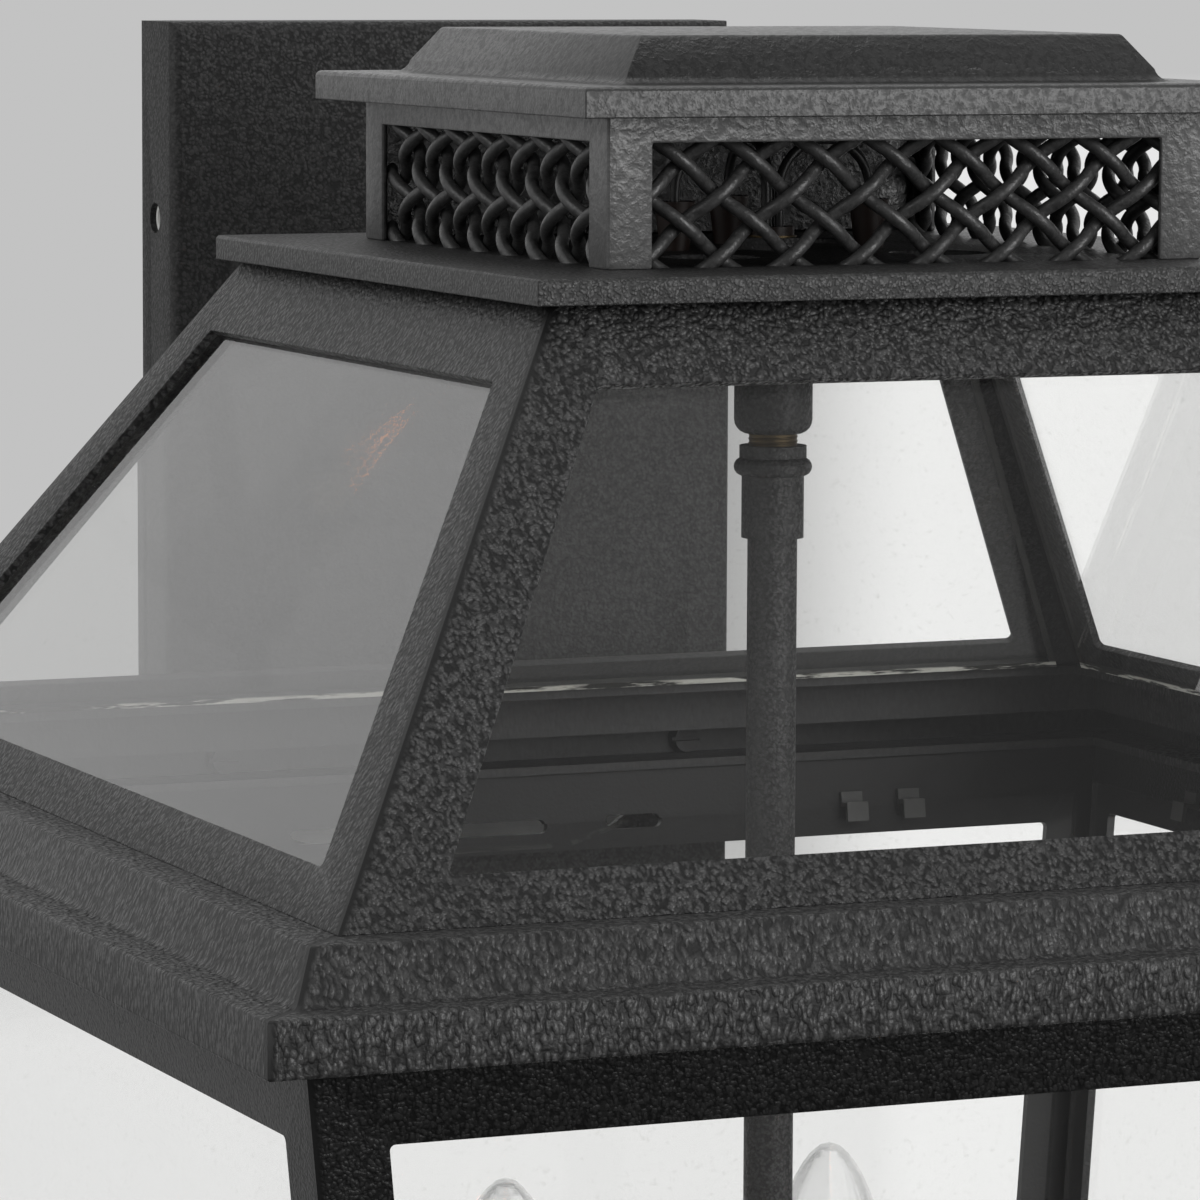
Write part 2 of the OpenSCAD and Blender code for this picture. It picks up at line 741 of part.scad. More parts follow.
// Outline of a folded pan section: two sides and a rounded front, the open side at y = 0
function pan_section(w, d, r) = both_sides(concat(
    [[w / 2, 0]],
    arc([w / 2 - r, -d + r], r, 0, -90, 6)
));
module pan_block(w, h, d, r, back) {
    intersection() {
        linear_extrude(2 * h, center = true)
            polygon([for (p = pan_section(w, d, r)) [p[0], p[1] == 0 ? back : p[1]]]);
        rotate([90, 0, 90])
            linear_extrude(2 * w, center = true)
            polygon([for (p = pan_section(h, d, r)) [p[1] == 0 ? back : p[1], p[0]]]);
    }
}

// Wall plate: deep folded pan, open to the wall, with a wiring window behind the crown
module wall_plate() {
    s = plate_sheet;
    wiring_z = crown_bottom + collar_rise + wiring_rise;
    color("dimgray") difference() {
        pan_block(plate_w, plate_h, plate_depth, plate_fold_r, 0);
        pan_block(plate_w - 2 * s, plate_h - 2 * s, plate_depth - s, plate_fold_r - s, cut);
        translate([0, cut - plate_depth + s, wiring_z])
            rotate([90, 0, 0])
            linear_extrude(s + 2 * cut)
            polygon(rounded([
                [-wiring_w / 2, -wiring_h / 2], [wiring_w / 2, -wiring_h / 2],
                [wiring_w / 2, wiring_h / 2], [-wiring_w / 2, wiring_h / 2]
            ], wiring_r, 8));
        for (side = [-1, 1])
            translate([side * crown_screw_pitch / 2, -plate_depth - cut, crown_screw_z + collar_rise])
            rotate([-90, 0, 0])
            cylinder(d = crown_screw_d + 2 * screw_clear, h = s + 2 * cut);
        for (z = [-side_hole_z, side_hole_z])
            translate([-plate_w, -side_hole_y, z])
            rotate([0, 90, 0])
            cylinder(d = side_hole_d, h = 2 * plate_w);
    }
}

// Bracket: upright strap with two cross arms whose folded ears fit inside the plate's sides
module mounting_bracket() {
    reach = plate_w / 2 - plate_sheet;
    color("silver") difference() {
        union() {
            translate([-strap_w / 2, -bracket_t, -side_hole_z])
                cube([strap_w, bracket_t, 2 * side_hole_z]);
            for (z = [-side_hole_z, side_hole_z]) {
                translate([-reach, -bracket_t, z - arm_h / 2])
                    cube([2 * reach, bracket_t, arm_h]);
                for (side = [-1, 1])
                    translate([side * (reach - bracket_t / 2), -ear_depth / 2, z])
                    cube([bracket_t, ear_depth, arm_h], center = true);
            }
        }
        for (z = [-side_hole_z, side_hole_z])
            translate([-plate_w, -side_hole_y, z])
            rotate([0, 90, 0])
            cylinder(d = ear_bore_d, h = 2 * plate_w);
        for (z = [-1, 1])
            translate([0, 0, z * box_screw_pitch / 2]) {
                translate([-slot_w / 2, -bracket_t - cut, -(slot_len - slot_w) / 2])
                    cube([slot_w, bracket_t + 2 * cut, slot_len - slot_w]);
                for (end = [-1, 1])
                    translate([0, cut, end * (slot_len - slot_w) / 2])
                    rotate([90, 0, 0])
                    cylinder(d = slot_w, h = bracket_t + 2 * cut);
            }
        translate([0, cut, 0])
            rotate([90, 0, 0])
            cylinder(d = strap_hole_d, h = bracket_t + 2 * cut);
    }
}

// Screws that hold the crown against the wall plate, heads inside the lantern
module crown_screws() {
    head_y = -plate_depth - crown_wall;
    shank_l = crown_wall + plate_sheet + crown_nut_t + 2;
    color("silver")
        for (side = [-1, 1])
            translate([side * crown_screw_pitch / 2, head_y, crown_screw_z + collar_rise])
            rotate([-90, 0, 0]) {
                difference() {
                    translate([0, 0, -crown_head_h])
                        cylinder(d1 = crown_head_d - 1.6, d2 = crown_head_d, h = crown_head_h);
                    translate([0, 0, -crown_head_h])
                        cube([crown_head_d + 2, crown_slot_w, 2 * crown_slot_depth], center = true);
                }
                cylinder(d = crown_screw_d, h = shank_l);
            }
}

module hex_nut(flats, thickness, bore) {
    difference() {
        cylinder(d = flats / cos(30), h = thickness, $fn = 6);
        translate([0, 0, -cut]) cylinder(d = bore, h = thickness + 2 * cut);
    }
}

module crown_nuts() {
    color("silver")
        for (side = [-1, 1])
            translate([side * crown_screw_pitch / 2, plate_sheet - plate_depth, crown_screw_z + collar_rise])
            rotate([-90, 0, 0])
            hex_nut(crown_nut_w, crown_nut_t, crown_screw_d);
}

// Stem, from the lock nut in the cage down to the candle cluster
module stem_nut() {
    color("gold") hung() hex_nut(stem_nut_w, stem_nut_t, nipple_d);
}

module tube(d, bore, z0, z1) {
    translate([0, 0, z0]) difference() {
        cylinder(d = d, h = z1 - z0);
        translate([0, 0, -cut]) cylinder(d = bore, h = z1 - z0 + 2 * cut);
    }
}

module stem_nipple() {
    color("goldenrod") hung() tube(nipple_d, wire_way_d, nipple_bottom, nipple_top);
}

module upper_coupling() {
    r = upper_coupling_d / 2;
    edge = upper_coupling_round;
    z0 = upper_coupling_bottom;
    color("dimgray") hung() rotate_extrude()
        polygon(concat(
            [[nipple_d / 2, -collar_sheet], [nipple_d / 2, z0]],
            arc([r - edge, z0 + edge], edge, -90, 0, 5),
            [[r, -collar_sheet]]
        ));
}

module lower_coupling() {
    bead_r = bead_h / 2;
    color("dimgray") hung() rotate_extrude()
        polygon(concat(
            [
                [nipple_d / 2, lower_coupling_top], [nipple_d / 2, nipple_bottom],
                [pipe_d / 2, nipple_bottom], [pipe_d / 2, sleeve_bottom],
                [sleeve_d / 2, sleeve_bottom], [sleeve_d / 2, bead_bottom]
            ],
            arc([bead_d / 2 - bead_r, bead_bottom + bead_r], bead_r, -90, 90, 8),
            [[ring_d / 2, ring_bottom], [ring_d / 2, lower_coupling_top]]
        ));
}

module stem_pipe() {
    color("dimgray") hung() tube(pipe_d, wire_way_d, pipe_bottom, nipple_bottom);
}

// Places children at each candle or at one of them
module at_candle(i) {
    rotate([0, 0, 45 + cluster_turn + 90 * (i - 1)]) children();
}

// Turned hub, hollow for the wiring: the pipe enters its top and the four arms its wall
hub_foot_r = 3;
hub_shoulder_r = 5;
module cluster_hub() {
    r = hub_d / 2;
    color("dimgray") hung() difference() {
        rotate_extrude()
            polygon(concat(
                [[finial_thread_d / 2, hub_bottom]],
                arc([r - hub_foot_r, hub_bottom + hub_foot_r], hub_foot_r, -90, 0, 5),
                arc([r - hub_shoulder_r, hub_top - hub_shoulder_r], hub_shoulder_r, 0, 90, 6),
                [
                    [pipe_d / 2, hub_top], [pipe_d / 2, hub_top - hub_lid],
                    [r - hub_wall, hub_top - hub_lid], [r - hub_wall, hub_bottom + hub_lid],
                    [finial_thread_d / 2, hub_bottom + hub_lid]
                ]
            ));
        for (i = [1:4])
            at_candle(i)
            translate([0, 0, arm_z])
            rotate([0, 90, 0])
            cylinder(d = arm_d, h = hub_d);
    }
}

// Turned finial that closes the underside of the hub
finial_thread_d = 6;
finial_ball_d = 15;
finial_disc_d = 18;
finial_disc_h = 3;
module cluster_finial() {
    ball_z = hub_bottom - finial_disc_h - 0.35 * finial_ball_d;
    color("dimgray") hung() {
        translate([0, 0, hub_bottom - 0.5 * finial_disc_h])
            cylinder(d = finial_thread_d, h = hub_lid + 0.5 * finial_disc_h);
        translate([0, 0, hub_bottom - finial_disc_h]) cylinder(d = finial_disc_d, h = finial_disc_h);
        translate([0, 0, ball_z]) sphere(d = finial_ball_d);
    }
}

// Bent tube from the hub out and up to the drip cup
module arm_bar(d, ends) {
    start = hub_d / 2 - hub_wall;
    bend_x = candle_r - arm_bend;
    translate([start - ends, 0, arm_z]) rotate([0, 90, 0]) cylinder(d = d, h = bend_x - start + ends);
    translate([bend_x, 0, arm_z + arm_bend])
        rotate([90, 0, 0])
        rotate([0, 0, 270])
        rotate_extrude(angle = 90)
        translate([arm_bend, 0])
        circle(d = d);
    if (ends > 0) translate([candle_r, 0, cup_bottom]) cylinder(d = d, h = ends);
}

module arm(i) {
    color("dimgray") hung() at_candle(i) difference() {
        arm_bar(arm_d, 0);
        arm_bar(arm_bore, cut);
    }
}

// Spun dish under each candle: flat floor, flared side and rolled edge
module drip_cup(i) {
    r = cup_d / 2;
    z = cup_bottom;
    floor_r = candle_d / 2 + cup_clear;
    color("dimgray") hung() at_candle(i) translate([candle_r, 0, 0]) rotate_extrude()
        polygon(concat(
            [[arm_bore / 2, z], [floor_r, z], [r - cup_edge_r, z + cup_h - 2 * cup_edge_r]],
            arc([r - cup_edge_r, z + cup_h - cup_edge_r], cup_edge_r, -90, 180, 9),
            [[floor_r, z + cup_wall], [arm_bore / 2, z + cup_wall]]
        ));
}

// Lamp socket on its post, standing in the drip cup
module socket(i) {
    base = candle_bottom;
    rim = lamp_seat;
    body_z = rim - socket_h;
    color("black") hung() at_candle(i) translate([candle_r, 0, 0]) difference() {
        union() {
            translate([0, 0, base]) cylinder(d = socket_post_d, h = body_z - base + 1);
            translate([0, 0, body_z]) cylinder(d = socket_d, h = socket_h);
        }
        translate([0, 0, lamp_cap_bottom]) cylinder(d = lamp_cap_d, h = lamp_cap_h + cut);
        translate([0, 0, base - cut]) cylinder(d = arm_bore, h = body_z - base);
    }
}

module candle_sleeve(i) {
    color("ivory") hung() at_candle(i) translate([candle_r, 0, 0])
        tube(candle_d, candle_d - 2 * candle_wall, candle_bottom, candle_top);
}

// Radius of the lamp glass at a height above the screw cap, a flame with its belly low down
belly = 0.27;
neck_r = lamp_cap_d / 2;
function lamp_r(t, r) = t < belly
    ? neck_r + (r - neck_r) * sin(90 * t / belly)
    : r * pow(1 - pow((t - belly) / (1 - belly), 2), 0.54);
lamp_steps = 18;
module lamp_shape(r, z0, h) {
    rotate_extrude()
        polygon(concat(
            [[0, z0]],
            [for (k = [0:lamp_steps - 1]) let (t = 1 - pow(1 - k / lamp_steps, 1.6)) [lamp_r(t, r), z0 + h * t]],
            [[0, z0 + h]]
        ));
}

module lamp_glass(i) {
    w = lamp_wall;
    color("lightcyan", 0.4) hung() at_candle(i) translate([candle_r, 0, 0]) difference() {
        lamp_shape(lamp_d / 2, lamp_seat, lamp_glass_h);
        translate([0, 0, w]) lamp_shape(lamp_d / 2 - w, lamp_seat, lamp_glass_h - 2 * w);
        translate([0, 0, lamp_seat - cut]) cylinder(r = neck_r - w, h = 2 * cut + w);
    }
}

// Screw cap of a lamp with the stem and filament carrier that stand in the glass
stem_glass_r = 3;
module lamp_base(i) {
    rod_h = 0.55 * lamp_glass_h;
    color("gold") hung() at_candle(i) translate([candle_r, 0, 0]) {
        translate([0, 0, lamp_cap_bottom + 2]) cylinder(d = lamp_cap_d, h = lamp_cap_h - 2);
        translate([0, 0, lamp_cap_bottom]) cylinder(d1 = 6, d2 = lamp_cap_d, h = 2);
        translate([0, 0, lamp_seat]) cylinder(r1 = stem_glass_r + 1, r2 = 1.5, h = 0.25 * lamp_glass_h);
        for (side = [-1, 1])
            translate([side * 1, 0, lamp_seat + 0.2 * lamp_glass_h])
            rotate([0, side * 7, 0])
            cylinder(d = 1, h = rod_h - 0.2 * lamp_glass_h);
    }
}

module arm_1() { arm(1); }
module arm_2() { arm(2); }
module arm_3() { arm(3); }
module arm_4() { arm(4); }
module drip_cup_1() { drip_cup(1); }
module drip_cup_2() { drip_cup(2); }
module drip_cup_3() { drip_cup(3); }
module drip_cup_4() { drip_cup(4); }
module socket_1() { socket(1); }
module socket_2() { socket(2); }
module socket_3() { socket(3); }
module socket_4() { socket(4); }
module candle_sleeve_1() { candle_sleeve(1); }
module candle_sleeve_2() { candle_sleeve(2); }
module candle_sleeve_3() { candle_sleeve(3); }
module candle_sleeve_4() { candle_sleeve(4); }
module lamp_glass_1() { lamp_glass(1); }
module lamp_glass_2() { lamp_glass(2); }
module lamp_glass_3() { lamp_glass(3); }
module lamp_glass_4() { lamp_glass(4); }
module lamp_base_1() { lamp_base(1); }
module lamp_base_2() { lamp_base(2); }
module lamp_base_3() { lamp_base(3); }
module lamp_base_4() { lamp_base(4); }

// Bushing that lines the end of the nipple: a flange and a sleeve in the bore
bushing_clear = 0.1;
bushing_bore = wire_way_d - 1.6;
bushing_sleeve = 6;
module nipple_bushing() {
    color("sienna") hung() difference() {
        union() {
            translate([0, 0, nipple_top]) cylinder(d = bushing_d, h = bushing_t);
            translate([0, 0, nipple_top - bushing_sleeve])
                cylinder(d = wire_way_d - 2 * bushing_clear, h = bushing_sleeve + bushing_t);
        }
        translate([0, 0, nipple_top - bushing_sleeve - cut])
            cylinder(d = bushing_bore, h = bushing_sleeve + bushing_t + 2 * cut);
    }
}

// Twist-on connectors standing on the collar plate inside the cage
connector_h = 10;
connector_x = 22;
connector_turns = [0, 90, 180];
lead_d = 2;
lead_x = 1.5;
lead_loop = (connector_x - lead_x) / 2;
module wire_connectors() {
    color("sienna") hung()
        for (turn = connector_turns)
            rotate([0, 0, turn])
            translate([connector_x, 0, 0])
            difference() {
                cylinder(d1 = 6, d2 = 8.5, h = connector_h);
                translate([0, 0, connector_h - 4]) cylinder(d = 5, h = 4 + cut);
            }
}

// Leads that rise from the nipple, loop over and enter the connectors
module lead_wires() {
    loop_z = connector_h + 2;
    color("black") hung()
        for (turn = connector_turns)
            rotate([0, 0, turn]) {
                translate([lead_x, 0, nipple_top - 12]) cylinder(d = lead_d, h = loop_z - nipple_top + 12);
                translate([connector_x, 0, connector_h - 4]) cylinder(d = lead_d, h = loop_z - connector_h + 4);
                translate([lead_x + lead_loop, 0, loop_z])
                    rotate([90, 0, 0])
                    rotate_extrude(angle = 180)
                    translate([lead_loop, 0])
                    circle(d = lead_d);
            }
}

cap();
cage_frame();
mesh_front();
mesh_right();
mesh_left();
collar_plate();
roof_frame();
roof_glass_front();
roof_glass_right();
roof_glass_rear();
roof_glass_left();
roof_glazing_beads();
crown();
body_frame();
body_glass_front();
body_glass_right();
body_glass_rear();
body_glass_left();
body_glass_clips();
base_band();
wall_plate();
mounting_bracket();
crown_screws();
crown_nuts();
stem_nut();
stem_nipple();
upper_coupling();
lower_coupling();
stem_pipe();
cluster_hub();
cluster_finial();
arm_1();
arm_2();
arm_3();
arm_4();
drip_cup_1();
drip_cup_2();
drip_cup_3();
drip_cup_4();
socket_1();
socket_2();
socket_3();
socket_4();
candle_sleeve_1();
candle_sleeve_2();
candle_sleeve_3();
candle_sleeve_4();
lamp_glass_1();
lamp_glass_2();
lamp_glass_3();
lamp_glass_4();
lamp_base_1();
lamp_base_2();
lamp_base_3();
lamp_base_4();
nipple_bushing();
wire_connectors();
lead_wires();
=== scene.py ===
import json
import math

import bmesh
import bpy
from mathutils import Matrix, Vector


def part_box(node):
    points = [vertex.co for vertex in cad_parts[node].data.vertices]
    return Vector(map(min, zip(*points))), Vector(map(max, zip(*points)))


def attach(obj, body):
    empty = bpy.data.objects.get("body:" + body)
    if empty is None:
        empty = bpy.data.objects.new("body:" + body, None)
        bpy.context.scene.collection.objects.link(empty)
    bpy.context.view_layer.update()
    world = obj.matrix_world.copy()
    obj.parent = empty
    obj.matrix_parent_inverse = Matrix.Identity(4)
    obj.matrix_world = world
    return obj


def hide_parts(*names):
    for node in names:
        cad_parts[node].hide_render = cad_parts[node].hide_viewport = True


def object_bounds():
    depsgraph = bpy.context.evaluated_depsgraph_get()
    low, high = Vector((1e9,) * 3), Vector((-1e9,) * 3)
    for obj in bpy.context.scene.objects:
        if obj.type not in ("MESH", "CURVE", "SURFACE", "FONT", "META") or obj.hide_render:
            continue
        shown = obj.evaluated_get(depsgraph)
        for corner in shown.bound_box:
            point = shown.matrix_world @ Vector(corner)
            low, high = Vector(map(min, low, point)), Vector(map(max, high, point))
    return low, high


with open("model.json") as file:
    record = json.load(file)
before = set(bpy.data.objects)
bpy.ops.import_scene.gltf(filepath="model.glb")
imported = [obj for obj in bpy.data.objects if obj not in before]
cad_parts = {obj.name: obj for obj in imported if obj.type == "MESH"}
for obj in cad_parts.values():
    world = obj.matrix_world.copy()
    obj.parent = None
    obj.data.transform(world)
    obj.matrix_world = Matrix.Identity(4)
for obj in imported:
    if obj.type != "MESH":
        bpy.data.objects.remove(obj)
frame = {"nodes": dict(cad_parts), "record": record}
cad_box = [list(v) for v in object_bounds()]
NODES = frame["nodes"]

MM = 0.001
AXIS_Y = -0.196  # the lantern's own axis
SLAB_TOP = 0.1113  # foot of the cap's raised top
CAGE_HALF = 0.0637  # from the axis to the inside of the cage's sheet
CAST_EDGE = 0.5  # round of the edges in mm, under a thick coat
SHEET_EDGE = 0.35

CAMERA_PLACE = (-0.5279, -1.3377, 0.1401)
CAMERA_HEADING = math.radians(-23.213)
CAMERA_DIP = 0.10857
CAMERA_ROLL = 0.00419
LENS = 183.2

scene = bpy.context.scene
scene.view_settings.view_transform = "Standard"


def add_camera():
    data = bpy.data.cameras.new("camera")
    data.lens = LENS
    data.sensor_width = 36.0
    data.clip_start, data.clip_end = 0.05, 100.0
    cam = bpy.data.objects.new("camera", data)
    cam.matrix_world = (
        Matrix.Translation(CAMERA_PLACE)
        @ Matrix.Rotation(CAMERA_HEADING, 4, "Z")
        @ Matrix.Rotation(math.pi / 2 - CAMERA_DIP, 4, "X")
        @ Matrix.Rotation(CAMERA_ROLL, 4, "Z")
    )
    scene.collection.objects.link(cam)
    scene.camera = cam


class Tree:
    """Nodes of one material or of the surroundings."""

    def __init__(self, owner):
        owner.use_nodes = True
        self.t = owner.node_tree
        self.t.nodes.clear()

    def node(self, kind, inputs=None, **settings):
        n = self.t.nodes.new(kind)
        for key, value in settings.items():
            setattr(n, key, value)
        for key, value in (inputs or {}).items():
            self.put(n, key, value)
        return n

    def put(self, n, key, value):
        socket = n.inputs[key]
        if isinstance(value, bpy.types.NodeSocket):
            self.t.links.new(value, socket)
        else:
            socket.default_value = value

    def math(self, op, a, b=0.0, c=None):
        n = self.node("ShaderNodeMath", operation=op)
        self.put(n, 0, a)
        self.put(n, 1, b)
        if c is not None:
            self.put(n, 2, c)
        return n.outputs[0]

    def vector(self, op, a, b, c=None):
        n = self.node("ShaderNodeVectorMath", operation=op)
        self.put(n, 0, a)
        self.put(n, 1, b)
        if c is not None:
            self.put(n, 2, c)
        return n.outputs[0]

    def remap(self, value, lo, hi, to_lo=0.0, to_hi=1.0, smooth=False):
        n = self.node("ShaderNodeMapRange", {"Value": value, "From Min": lo, "From Max": hi})
        self.put(n, "To Min", to_lo)
        self.put(n, "To Max", to_hi)
        if smooth:
            n.interpolation_type = "SMOOTHSTEP"
        return n.outputs[0]

    def mix(self, factor, a, b):
        n = self.node("ShaderNodeMix", data_type="RGBA")
        self.put(n, 0, factor)
        self.put(n, 6, a)
        self.put(n, 7, b)
        return n.outputs[2]

    def noise(self, where, scale, detail=2.0, rough=0.5):
        inputs = {"Vector": where, "Scale": scale, "Detail": detail, "Roughness": rough}
        return self.node("ShaderNodeTexNoise", inputs).outputs["Fac"]

    def voronoi(self, where, scale):
        n = self.node("ShaderNodeTexVoronoi", {"Vector": where, "Scale": scale}, feature="F1")
        return n.outputs["Distance"]

    def mix_value(self, factor, a, b):
        rest = self.math("MULTIPLY", self.math("SUBTRACT", 1.0, factor), a)
        return self.math("ADD", self.math("MULTIPLY", factor, b), rest)

    def grey(self, value):
        return self.node("ShaderNodeCombineColor", {0: value, 1: value, 2: value}).outputs[0]

    def place(self):
        return self.node("ShaderNodeTexCoord").outputs["Object"]

    def split(self, where):
        return self.node("ShaderNodeSeparateXYZ", {0: where}).outputs

    def from_axis(self, where):
        """Distances from the lantern's axis, along X and along Y."""
        x, y, _ = self.split(where)
        return self.math("ABSOLUTE", x), self.math("ABSOLUTE", self.math("SUBTRACT", y, AXIS_Y))

    def bump(self, height, strength, distance):
        inputs = {"Height": height, "Strength": strength, "Distance": distance}
        return self.node("ShaderNodeBump", inputs).outputs[0]

    def out(self, shader, kind="ShaderNodeOutputMaterial"):
        self.node(kind, {"Surface": shader})


def grey(v, warm=0.0):
    return (v * (1 + warm), v, v * (1 - warm), 1.0)


def hammered(name, base=0.043, rough=0.38, lump=1.1, swell=0.0, depth=1.1, lean=None, calm=None,
             seam=False, net=0.08, gloss=0.35, left=0.4, soft=False, inner=None, upper=None):
    """Weathered coat: rounded lumps that run together on a net darkened with painted shade.

    lump: width of a lump in mm. swell: share of wide swellings. lean: stretch of the lumps.
    net: how pale the net is beside the lumps, a painted shade. soft: thick coat without a net.
    left: colour level set on the left faces, painted light and shade for that side. calm: evenness of
    colour at the far inner side.
    seam: groove at the hips, darkened with painted shade. inner, upper: where the painted shade inside
    the cage and the painted shade on the darker top begin.
    """
    m = bpy.data.materials.new(name)
    t = Tree(m)
    where = t.place()
    drift = t.node("ShaderNodeTexNoise", {"Vector": where, "Scale": 400.0 / lump, "Detail": 0.0})
    bent = t.vector("MULTIPLY_ADD", drift.outputs["Color"], (0.001 * lump,) * 3, where)
    if lean:
        bent = t.vector("MULTIPLY", bent, lean)
    if soft:
        height = t.remap(t.noise(bent, 480.0 / lump, 2.5, 0.6), 0.25, 0.75, smooth=True)
        tone = t.remap(height, 0.1, 0.6)
    else:
        far = t.voronoi(bent, 1000.0 / lump)
        dome = t.remap(t.math("MULTIPLY", far, far), 0.04, 0.38, 1.0, 0.0)
        worms = t.remap(t.noise(bent, 700.0 / lump, 1.0), 0.36, 0.62, smooth=True)
        height = t.math("MULTIPLY_ADD", dome, 0.6, t.math("MULTIPLY", worms, 0.4))
        tone = t.remap(height, 0.15, 0.75)
    grain = t.noise(where, 1700.0, 1.0)
    height = t.math("MULTIPLY_ADD", grain, 0.3, height)
    if swell:
        wide = t.noise(where, 230.0, 1.0)
        height = t.math("MULTIPLY_ADD", wide, swell, t.math("MULTIPLY", height, 0.5))
    if seam:
        # Groove where two folded sides meet at a hip: the bump sinks it and painted shade darkens its
        # colour
        away = t.math("SUBTRACT", *t.from_axis(where))
        open_skin = t.remap(t.math("ABSOLUTE", away), 0.0005, 0.0019, smooth=True)
        height = t.math("MULTIPLY", height, open_skin)
        tone = t.math("MULTIPLY", tone, open_skin)
    cloud = t.noise(where, 22.0, 2.0, 0.6)
    high = t.mix(cloud, grey(base * 0.8, 0.01), grey(base * 1.3, 0.0))
    low = grey(base * net)
    # Left faces have a weaker relief, as photographed
    face = t.split(t.node("ShaderNodeNewGeometry").outputs["Normal"])[0]
    strength = t.remap(face, -0.75, -0.35, 0.5, 1.0)
    # Painted light and shade: on faces turned to the left the colour level is set by left
    tone = t.mix_value(strength, left, tone)
    tone = t.math("MULTIPLY", tone, t.remap(grain, 0.36, 0.5, 0.45, 1.05))
    if calm:
        # The far inner side of the lantern has a smoother skin
        near = t.remap(t.split(where)[1], -0.075, -0.045, 1.0, 0.15, smooth=True)
        strength = t.math("MULTIPLY", strength, near)
        tone = t.mix_value(near, calm, tone)
    # Painted shade: the colour follows the relief, pale on the raised lumps and swells and dark in the
    # net and hollows between them
    color = t.mix(tone, low, high)
    # Painted shade: within inner of the axis, inside the cage, the colour goes near black
    if inner:
        off = t.math("MAXIMUM", *t.from_axis(where))
        color = t.mix(t.remap(off, inner, inner + 0.0006), grey(0.006), color)
    # Painted shade: above upper, on the cap's raised top, the colour goes darker
    if upper:
        color = t.mix(t.remap(t.split(where)[2], upper, upper + 0.002), color, grey(0.011))
    shader = t.node("ShaderNodeBsdfPrincipled", {
        "Base Color": color,
        "Roughness": t.remap(tone, 0.0, 1.0, rough + 0.2, rough),
        "Specular IOR Level": gloss,
        "Normal": t.bump(height, strength, 0.0003 * depth * lump),
    })
    t.out(shader.outputs[0])
    return m


def clear_glass(name, tint, dusty=0.66, ior=1.5, alpha=1.0):
    """Polished glass that lets the lamps light what is behind it, with a little dust."""
    m = bpy.data.materials.new(name)
    t = Tree(m)
    where = t.place()
    dust = t.remap(t.noise(where, 700.0, 1.0), dusty, 0.9)
    shader = t.node("ShaderNodeBsdfPrincipled", {
        "Base Color": t.mix(dust, tint, (0.8, 0.8, 0.78, 1)),
        "Roughness": 0.0,
        "IOR": ior,
        "Transmission Weight": 1.0,
        "Alpha": alpha,
    })
    clear = t.node("ShaderNodeBsdfTransparent", {"Color": (0.9, 0.9, 0.9, 1)})
    path = t.node("ShaderNodeLightPath")
    shadow = path.outputs["Is Shadow Ray"]
    mixed = t.node("ShaderNodeMixShader", {0: shadow, 1: shader.outputs[0], 2: clear.outputs[0]})
    t.out(mixed.outputs[0])
    return m


def plain(name, color, rough, metallic=0.0, scale=300.0, depth=0.15, vary=0.25):
    """Simple finish with a little grain and colour drift."""
    m = bpy.data.materials.new(name)
    t = Tree(m)
    where = t.place()
    grain = t.noise(where, scale, 3.0, 0.6)
    dark = tuple(c * (1 - vary) for c in color[:3]) + (1.0,)
    light = tuple(min(1.0, c * (1 + vary)) for c in color[:3]) + (1.0,)
    shader = t.node("ShaderNodeBsdfPrincipled", {
        "Base Color": t.mix(grain, dark, light),
        "Metallic": metallic,
        "Roughness": t.remap(grain, 0.3, 0.7, rough - 0.07, rough + 0.07),
        "Normal": t.bump(grain, depth, 0.0002),
    })
    t.out(shader.outputs[0])
    return m


def sealant(name):
    """Thin dark sealant along the panes, with painted glints: pale runs at the panes' feet."""
    m = bpy.data.materials.new(name)
    t = Tree(m)
    where = t.place()
    glint_runs = t.noise(t.vector("MULTIPLY", where, (0.6, 0.6, 6.0)), 90.0, 4.0, 0.7)
    foot = t.remap(t.split(where)[2], -0.0330, -0.0325, 1.0, 0.0)
    # Painted glint: pale runs, only below the panes' feet
    tone = t.math("MULTIPLY", t.remap(glint_runs, 0.46, 0.54), foot)
    shader = t.node("ShaderNodeBsdfPrincipled", {
        "Base Color": t.mix(tone, (0.02, 0.02, 0.018, 1), (0.6, 0.6, 0.55, 1)),
        "Roughness": t.remap(tone, 0.0, 1.0, 0.6, 0.3),
        "Normal": t.bump(glint_runs, 0.6, 0.0006),
    })
    t.out(shader.outputs[0])
    return m


def filament_glow(name):
    m = bpy.data.materials.new(name)
    t = Tree(m)
    shade = t.noise(t.place(), 900.0, 2.0)
    shader = t.node("ShaderNodeBsdfPrincipled", {
        "Base Color": (0.3, 0.2, 0.15, 1),
        "Roughness": 0.5,
        "Emission Color": t.mix(shade, (1.0, 0.22, 0.03, 1), (1.0, 0.36, 0.08, 1)),
        "Emission Strength": 7.0,
    })
    t.out(shader.outputs[0])
    return m


